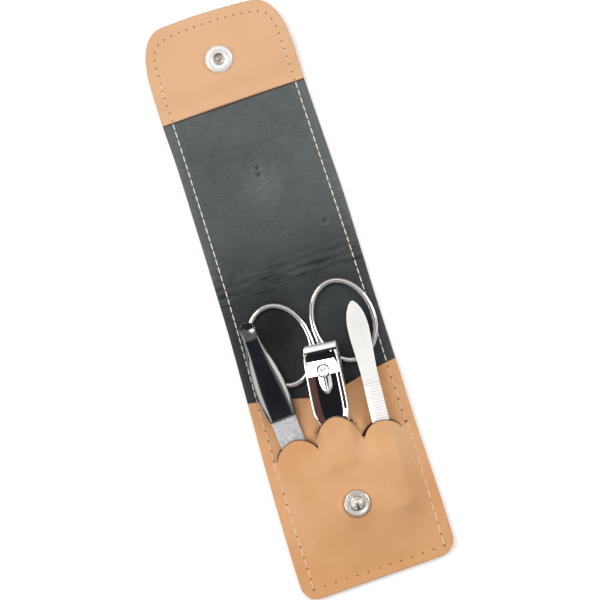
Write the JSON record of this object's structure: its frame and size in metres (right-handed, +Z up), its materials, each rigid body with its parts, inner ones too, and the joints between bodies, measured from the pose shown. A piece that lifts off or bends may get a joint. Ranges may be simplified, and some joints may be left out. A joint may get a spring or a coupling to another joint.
{
  "type": "manicure set case",
  "caption": "Slim folding leather case, shown open and flat, with a slit pocket that holds a nail file, scissors, nail clipper and tweezers; a snap holds it shut.",
  "frame": {"origin": "on the table, under the middle of the open case", "axes": "+X to the right, +Y along the open case from the pocket towards the flap, +Z up from the table"},
  "size_m": [0.0644, 0.2374, 0.0143],
  "materials": {
    "outer_leather": "smooth vegetable-tanned leather, satin, with burnished edges",
    "lining": "thin smooth black leather with a low sheen",
    "snap_metal": "polished nickel plate",
    "tool_steel": "polished plated steel",
    "satin_steel": "bright stainless steel, finely brushed along its length",
    "handle_plastic": "glossy moulded plastic",
    "file_grit": "grit-coated steel, matt and speckled"
  },
  "bodies": {
    "back": {"back_outer_leather": "outer_leather", "back_lining": "lining", "pocket_panel": "outer_leather", "snap_stud": "snap_metal", "stud_washer": "snap_metal"},
    "spine": {"spine_outer_leather": "outer_leather", "spine_lining": "lining"},
    "cover": {"cover_outer_leather": "outer_leather", "cover_lining": "lining", "flap_facing": "outer_leather", "snap_socket": "snap_metal", "socket_spring": "snap_metal", "snap_cap": "snap_metal"},
    "file": {"file_handle": "handle_plastic", "file_blade": "file_grit"},
    "scissors": {"scissors_screw": "tool_steel"},
    "scissors_left": {"scissors_left_half": "tool_steel"},
    "scissors_right": {"scissors_right_half": "tool_steel"},
    "clipper": {"clipper_lower_arm": "tool_steel", "clipper_rivet": "tool_steel", "clipper_pin": "tool_steel"},
    "clipper_upper": {"clipper_upper_arm": "tool_steel"},
    "clipper_lever": {"clipper_lever": "tool_steel"},
    "tweezers": {"tweezers_lower_arm": "satin_steel", "tweezers_spacer": "satin_steel"},
    "tweezers_upper": {"tweezers_upper_arm": "satin_steel"}
  },
  "joints": [
    {"name": "spine_fold", "type": "hinge", "parent": "back", "child": "spine", "pos_m": [0, 0.0012, 0.0029], "axis": [1, 0, 0], "range_deg": [0, 90]},
    {"name": "cover_fold", "type": "hinge", "parent": "spine", "child": "cover", "pos_m": [0, 0.0117, 0.0029], "axis": [1, 0, 0], "range_deg": [0, 90]},
    {"name": "file_slide", "type": "slide", "parent": "back", "child": "file", "axis": [0.0818, -0.9954, -0.0506], "range_m": [-0.045, 0]},
    {"name": "scissors_slide", "type": "slide", "parent": "back", "child": "scissors", "axis": [0.0819, -0.9966, 0], "range_m": [-0.055, 0]},
    {"name": "scissors_left_open", "type": "hinge", "parent": "scissors", "child": "scissors_left", "pos_m": [0.0057, -0.058, 0.00305], "axis": [0, 0, 1], "range_deg": [0, 7]},
    {"name": "scissors_right_open", "type": "hinge", "parent": "scissors", "child": "scissors_right", "pos_m": [0.0057, -0.058, 0.00305], "axis": [0, 0, 1], "range_deg": [-7, 0]},
    {"name": "clipper_slide", "type": "slide", "parent": "back", "child": "clipper", "axis": [-0.1045, -0.9945, 0], "range_m": [-0.03, 0]},
    {"name": "clipper_squeeze", "type": "hinge", "parent": "clipper", "child": "clipper_upper", "pos_m": [-0.00129, -0.07142, 0.008], "axis": [-0.9794, 0.1029, -0.1736], "range_deg": [0, 1.4], "stiffness_Nm_per_rad": 4},
    {"name": "lever_lift", "type": "hinge", "parent": "clipper", "child": "clipper_lever", "pos_m": [0.00233, -0.03188, 0.011], "axis": [-0.9794, 0.1029, -0.1736], "range_deg": [0, 1.2]},
    {"name": "tweezers_slide", "type": "slide", "parent": "back", "child": "tweezers", "axis": [-0.0654, -0.9976, -0.0209], "range_m": [-0.042, 0]},
    {"name": "tweezers_squeeze", "type": "hinge", "parent": "tweezers", "child": "tweezers_upper", "pos_m": [0.02058, -0.01967, 0.00757], "axis": [0.9979, -0.0654, 0], "range_deg": [0, 1.2], "stiffness_Nm_per_rad": 2.5}
  ],
  "couplings": [
    {"joint": "cover_fold", "follows": "spine_fold", "ratio": 1},
    {"joint": "scissors_right_open", "follows": "scissors_left_open", "ratio": -1}
  ]
}
